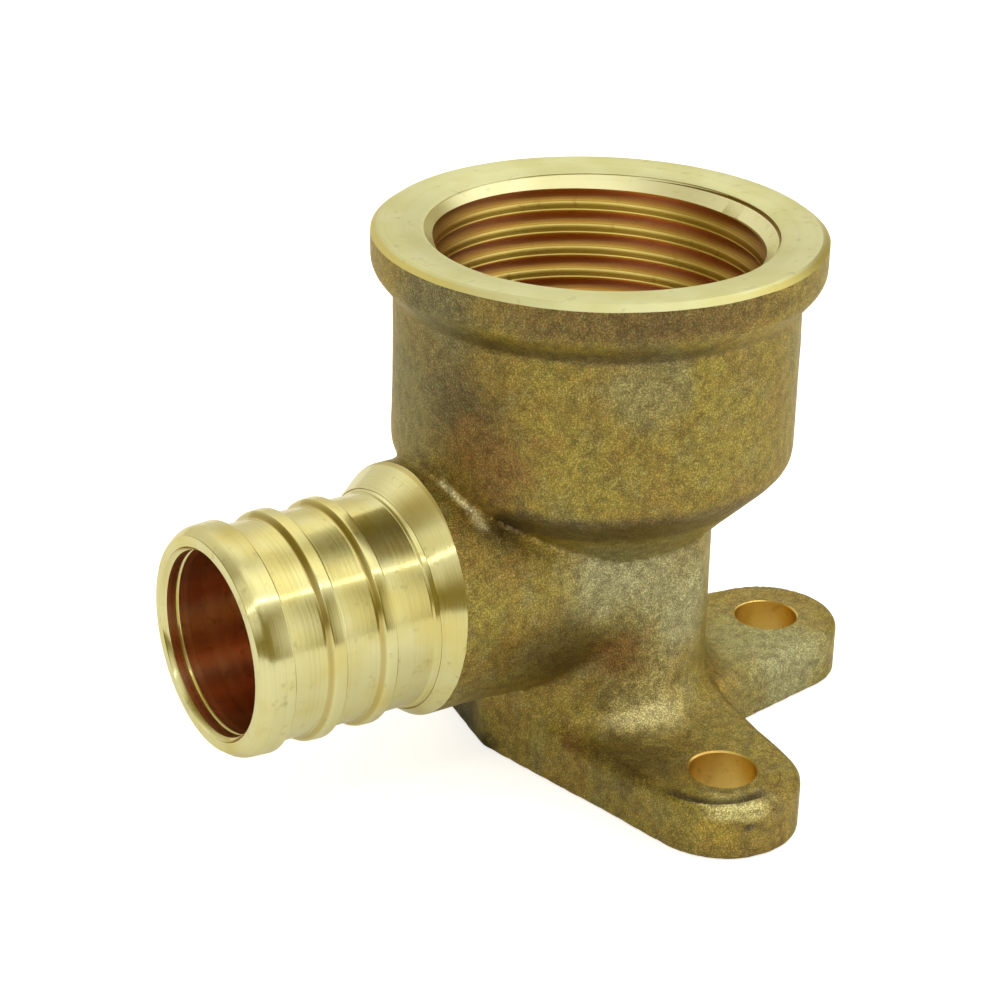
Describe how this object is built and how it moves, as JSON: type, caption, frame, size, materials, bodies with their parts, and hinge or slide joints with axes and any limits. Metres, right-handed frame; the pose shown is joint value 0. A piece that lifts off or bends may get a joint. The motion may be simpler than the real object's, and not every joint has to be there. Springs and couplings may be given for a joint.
{
  "type": "wall plate elbow",
  "caption": "Brass wall plate elbow with a female pipe thread socket, a crimp barb at right angles to it and a base plate with screw ears.",
  "frame": {"origin": "on the wall face (the underside of the base plate), where the socket's axis meets it", "axes": "+Z along the socket's axis, out of its threaded mouth; -X along the barb, out of its end; the screw ears point along +X, +Y and -Y; the part is symmetrical about the XZ plane"},
  "size_m": [0.0562, 0.0474, 0.0405],
  "materials": {
    "cast_brass": "shot-blasted as cast brass, matt and slightly tarnished",
    "turned_brass": "turned bright brass with fine tool marks"
  },
  "bodies": {
    "root": {"elbow_body": "cast_brass"}
  },
  "joints": []
}
